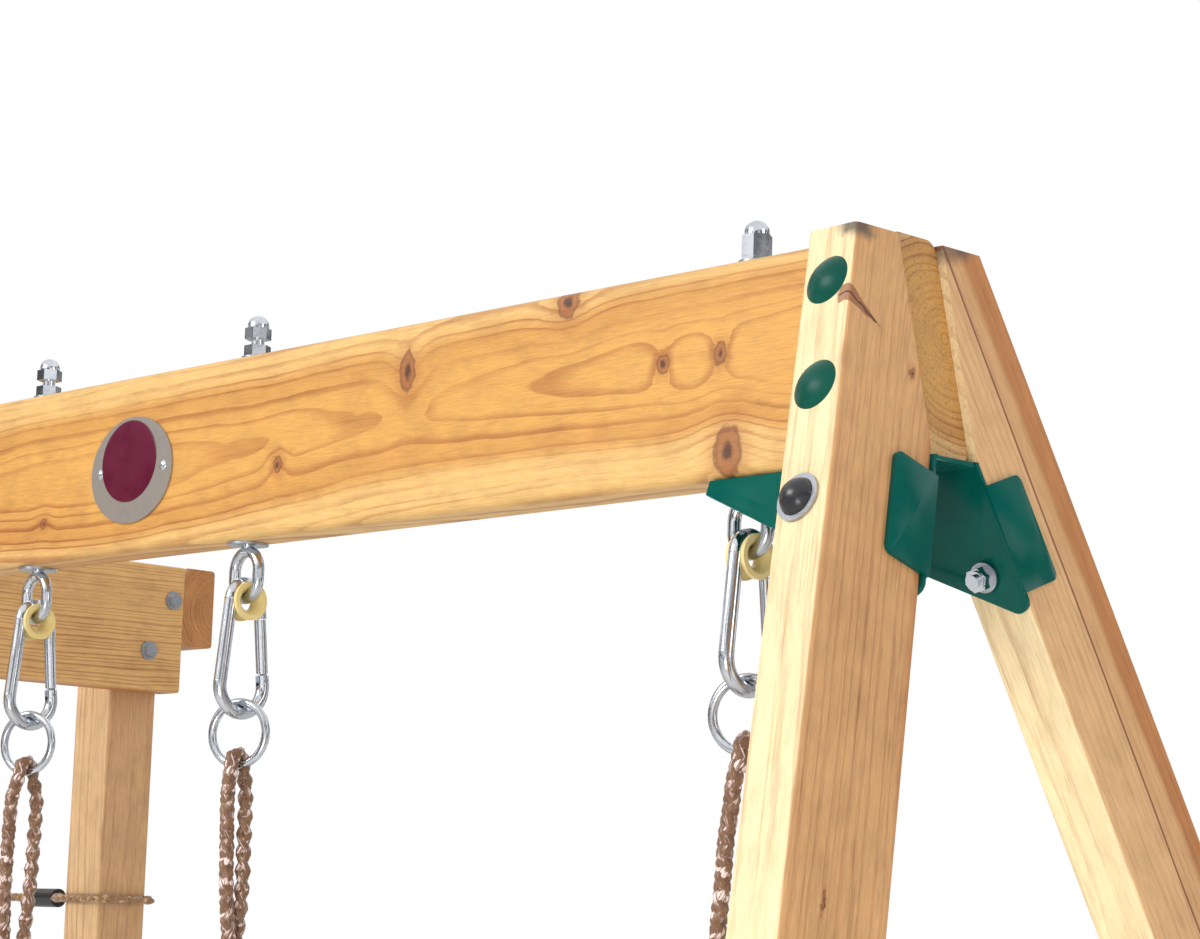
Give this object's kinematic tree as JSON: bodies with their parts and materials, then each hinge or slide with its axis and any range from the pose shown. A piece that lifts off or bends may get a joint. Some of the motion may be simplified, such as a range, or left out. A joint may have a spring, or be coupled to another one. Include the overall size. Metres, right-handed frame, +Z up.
{
  "type": "swing set",
  "caption": "Timber double swing: beam on a splayed leg frame at one end and a climbing bay with a rope net at the other, rope swings on snap hooks.",
  "frame": {"origin": "on the ground, at the middle of the whole footprint", "axes": "+X along the beam towards the leg frame, +Y across the beam towards the side with the rope net, +Z up"},
  "size_m": [2.9422, 1.629, 2.118],
  "materials": {
    "beam_timber": "sanded and oiled",
    "post_timber": "sanded and oiled",
    "green_steel": "gloss powder coat",
    "green_plastic": "moulded gloss",
    "black_plastic": "moulded satin",
    "seat_plastic": "moulded, fine texture",
    "nylon": "moulded nylon",
    "rope": "braided polypropylene",
    "badge_metal": "brushed",
    "zinc_steel": "bright zinc plate"
  },
  "bodies": {
    "root": {"beam": "beam_timber", "front_leg": "post_timber", "back_leg": "post_timber", "leg_spreader": "post_timber", "apex_bracket": "green_steel", "beam_bolts": "zinc_steel", "beam_bolt_caps": "green_plastic", "bracket_bolts": "zinc_steel", "bracket_washers": "zinc_steel", "bracket_bolt_caps": "black_plastic", "bracket_nuts": "zinc_steel", "spreader_bolts": "zinc_steel", "eyebolts": "zinc_steel", "lower_washers": "zinc_steel", "upper_washers": "zinc_steel", "hanger_nuts": "zinc_steel", "acorn_nuts": "zinc_steel", "badge": "badge_metal", "badge_screws": "zinc_steel", "near_header": "beam_timber", "far_header": "beam_timber", "front_top_rail": "beam_timber", "back_top_rail": "beam_timber", "front_low_rail": "beam_timber", "back_low_rail": "beam_timber", "near_front_post": "post_timber", "near_back_post": "post_timber", "far_front_post": "post_timber", "far_back_post": "post_timber", "beam_shoe": "green_steel", "shoe_bolts": "zinc_steel", "bay_bolts": "zinc_steel", "net_ropes": "rope", "net_ferrules": "black_plastic", "net_clamps": "black_plastic"},
    "swing_1": {"snap_hook_1": "zinc_steel", "snap_hook_2": "zinc_steel", "bushes_1": "nylon", "gate_pins_1": "zinc_steel", "rings_1": "zinc_steel", "rope_1": "rope", "rope_2": "rope", "rope_adjusters_1": "black_plastic", "seat_1": "seat_plastic"},
    "swing_2": {"snap_hook_3": "zinc_steel", "snap_hook_4": "zinc_steel", "bushes_2": "nylon", "gate_pins_2": "zinc_steel", "rings_2": "zinc_steel", "rope_3": "rope", "rope_4": "rope", "rope_adjusters_2": "black_plastic", "seat_2": "seat_plastic"},
    "gate_1": {"gate_1": "zinc_steel"},
    "gate_2": {"gate_2": "zinc_steel"},
    "gate_3": {"gate_3": "zinc_steel"},
    "gate_4": {"gate_4": "zinc_steel"}
  },
  "joints": [
    {"name": "swing_1_hinge", "type": "hinge", "parent": "root", "child": "swing_1", "pos_m": [0.91416, 0, 1.90675], "axis": [1, 0, -0.006], "range_deg": [-60, 60]},
    {"name": "swing_2_hinge", "type": "hinge", "parent": "root", "child": "swing_2", "pos_m": [0.14916, 0, 1.90975], "axis": [1, 0, 0.006], "range_deg": [-60, 60]},
    {"name": "gate_1_hinge", "type": "hinge", "parent": "swing_1", "child": "gate_1", "pos_m": [0.91416, 0.01873, 1.84868], "axis": [1, 0, 0], "range_deg": [0, 18], "stiffness_Nm_per_rad": 0.3, "springref_deg": -20.05},
    {"name": "gate_2_hinge", "type": "hinge", "parent": "swing_1", "child": "gate_2", "pos_m": [0.41815, 0.01873, 1.85168], "axis": [1, 0, 0], "range_deg": [0, 18], "stiffness_Nm_per_rad": 0.3, "springref_deg": -20.05},
    {"name": "gate_3_hinge", "type": "hinge", "parent": "swing_2", "child": "gate_3", "pos_m": [0.14916, 0.01873, 1.85168], "axis": [1, 0, 0], "range_deg": [0, 18], "stiffness_Nm_per_rad": 0.3, "springref_deg": -20.05},
    {"name": "gate_4_hinge", "type": "hinge", "parent": "swing_2", "child": "gate_4", "pos_m": [-0.34685, 0.01873, 1.84868], "axis": [1, 0, 0], "range_deg": [0, 18], "stiffness_Nm_per_rad": 0.3, "springref_deg": -20.05}
  ]
}
